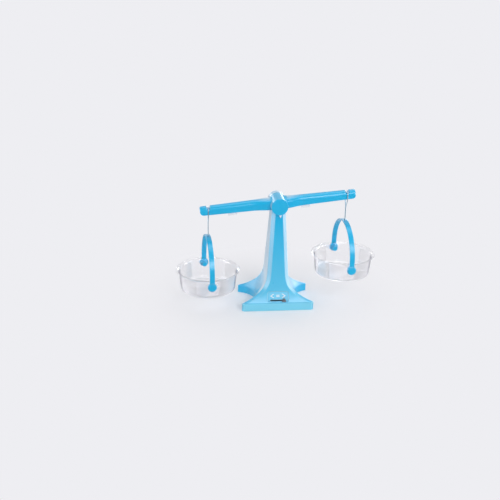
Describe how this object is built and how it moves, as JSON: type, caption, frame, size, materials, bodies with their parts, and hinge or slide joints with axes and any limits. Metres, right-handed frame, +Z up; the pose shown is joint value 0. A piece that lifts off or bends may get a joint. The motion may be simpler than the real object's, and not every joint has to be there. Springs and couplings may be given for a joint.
{
  "type": "pan balance scale",
  "caption": "Equal-arm classroom pan balance: hollow flared stand, tilting beam, clear pans on wire hooks and strap handles, and an arrow that shows less, equal or greater.",
  "frame": {"origin": "on the table under the middle of the stand", "axes": "+X along the beam to the right, -Y to the front where the signs are, +Z up"},
  "size_m": [0.4689, 0.1626, 0.2763],
  "materials": {
    "blue_plastic": "glossy moulded",
    "clear_plastic": "clear moulded",
    "steel_wire": "bright drawn",
    "white_plastic": "satin moulded",
    "charcoal_plastic": "satin moulded"
  },
  "bodies": {
    "stand": {"stand": "blue_plastic"},
    "beam": {"beam": "blue_plastic", "pivot_axle": "steel_wire", "level_pointer": "white_plastic", "tail_arm": "blue_plastic", "linkage_pin": "steel_wire"},
    "indicator": {"indicator_rod": "steel_wire", "pointer_tip": "charcoal_plastic"},
    "left_adjuster": {"left_adjuster": "white_plastic"},
    "left_hook": {"left_hook": "steel_wire"},
    "left_handle": {"left_handle": "blue_plastic", "left_front_button": "blue_plastic", "left_rear_button": "blue_plastic"},
    "left_pan": {"left_pan": "clear_plastic"},
    "right_adjuster": {"right_adjuster": "white_plastic"},
    "right_hook": {"right_hook": "steel_wire"},
    "right_handle": {"right_handle": "blue_plastic", "right_front_button": "blue_plastic", "right_rear_button": "blue_plastic"},
    "right_pan": {"right_pan": "clear_plastic"}
  },
  "joints": [
    {"name": "beam_tilt", "type": "hinge", "parent": "stand", "child": "beam", "pos_m": [0, 0, 0.246], "axis": [0, 1, 0], "range_deg": [0, 12]},
    {"name": "indicator_swing", "type": "hinge", "parent": "beam", "child": "indicator", "pos_m": [0.01401, 0, 0.11273], "axis": [0, 1, 0], "range_deg": [-12, 0]},
    {"name": "left_adjuster_slide", "type": "slide", "parent": "beam", "child": "left_adjuster", "axis": [0.9959, 0, 0.0904], "range_m": [-0.013, 0.052]},
    {"name": "left_hook_swing", "type": "hinge", "parent": "beam", "child": "left_hook", "pos_m": [-0.16025, 0, 0.23522], "axis": [0, 1, 0], "range_deg": [-12, 0]},
    {"name": "left_handle_swivel", "type": "hinge", "parent": "left_hook", "child": "left_handle", "pos_m": [-0.16025, 0, 0.07162], "axis": [0, 0, 1], "continuous": true},
    {"name": "left_pan_tip", "type": "hinge", "parent": "left_handle", "child": "left_pan", "pos_m": [-0.16025, 0, 0.07162], "axis": [-0.0698, 0.9976, 0], "range_deg": [-50, 50]},
    {"name": "right_adjuster_slide", "type": "slide", "parent": "beam", "child": "right_adjuster", "axis": [0.9929, 0, 0.1186], "range_m": [-0.008, 0.057]},
    {"name": "right_hook_swing", "type": "hinge", "parent": "beam", "child": "right_hook", "pos_m": [0.15899, 0, 0.26877], "axis": [0, 1, 0], "range_deg": [-12, 0]},
    {"name": "right_handle_swivel", "type": "hinge", "parent": "right_hook", "child": "right_handle", "pos_m": [0.15899, 0, 0.10517], "axis": [0, 0, 1], "continuous": true},
    {"name": "right_pan_tip", "type": "hinge", "parent": "right_handle", "child": "right_pan", "pos_m": [0.15899, 0, 0.10517], "axis": [-0.0698, 0.9976, 0], "range_deg": [-50, 50]}
  ],
  "couplings": [
    {"joint": "indicator_swing", "follows": "beam_tilt", "ratio": -1},
    {"joint": "left_hook_swing", "follows": "beam_tilt", "ratio": -1},
    {"joint": "right_hook_swing", "follows": "beam_tilt", "ratio": -1}
  ]
}
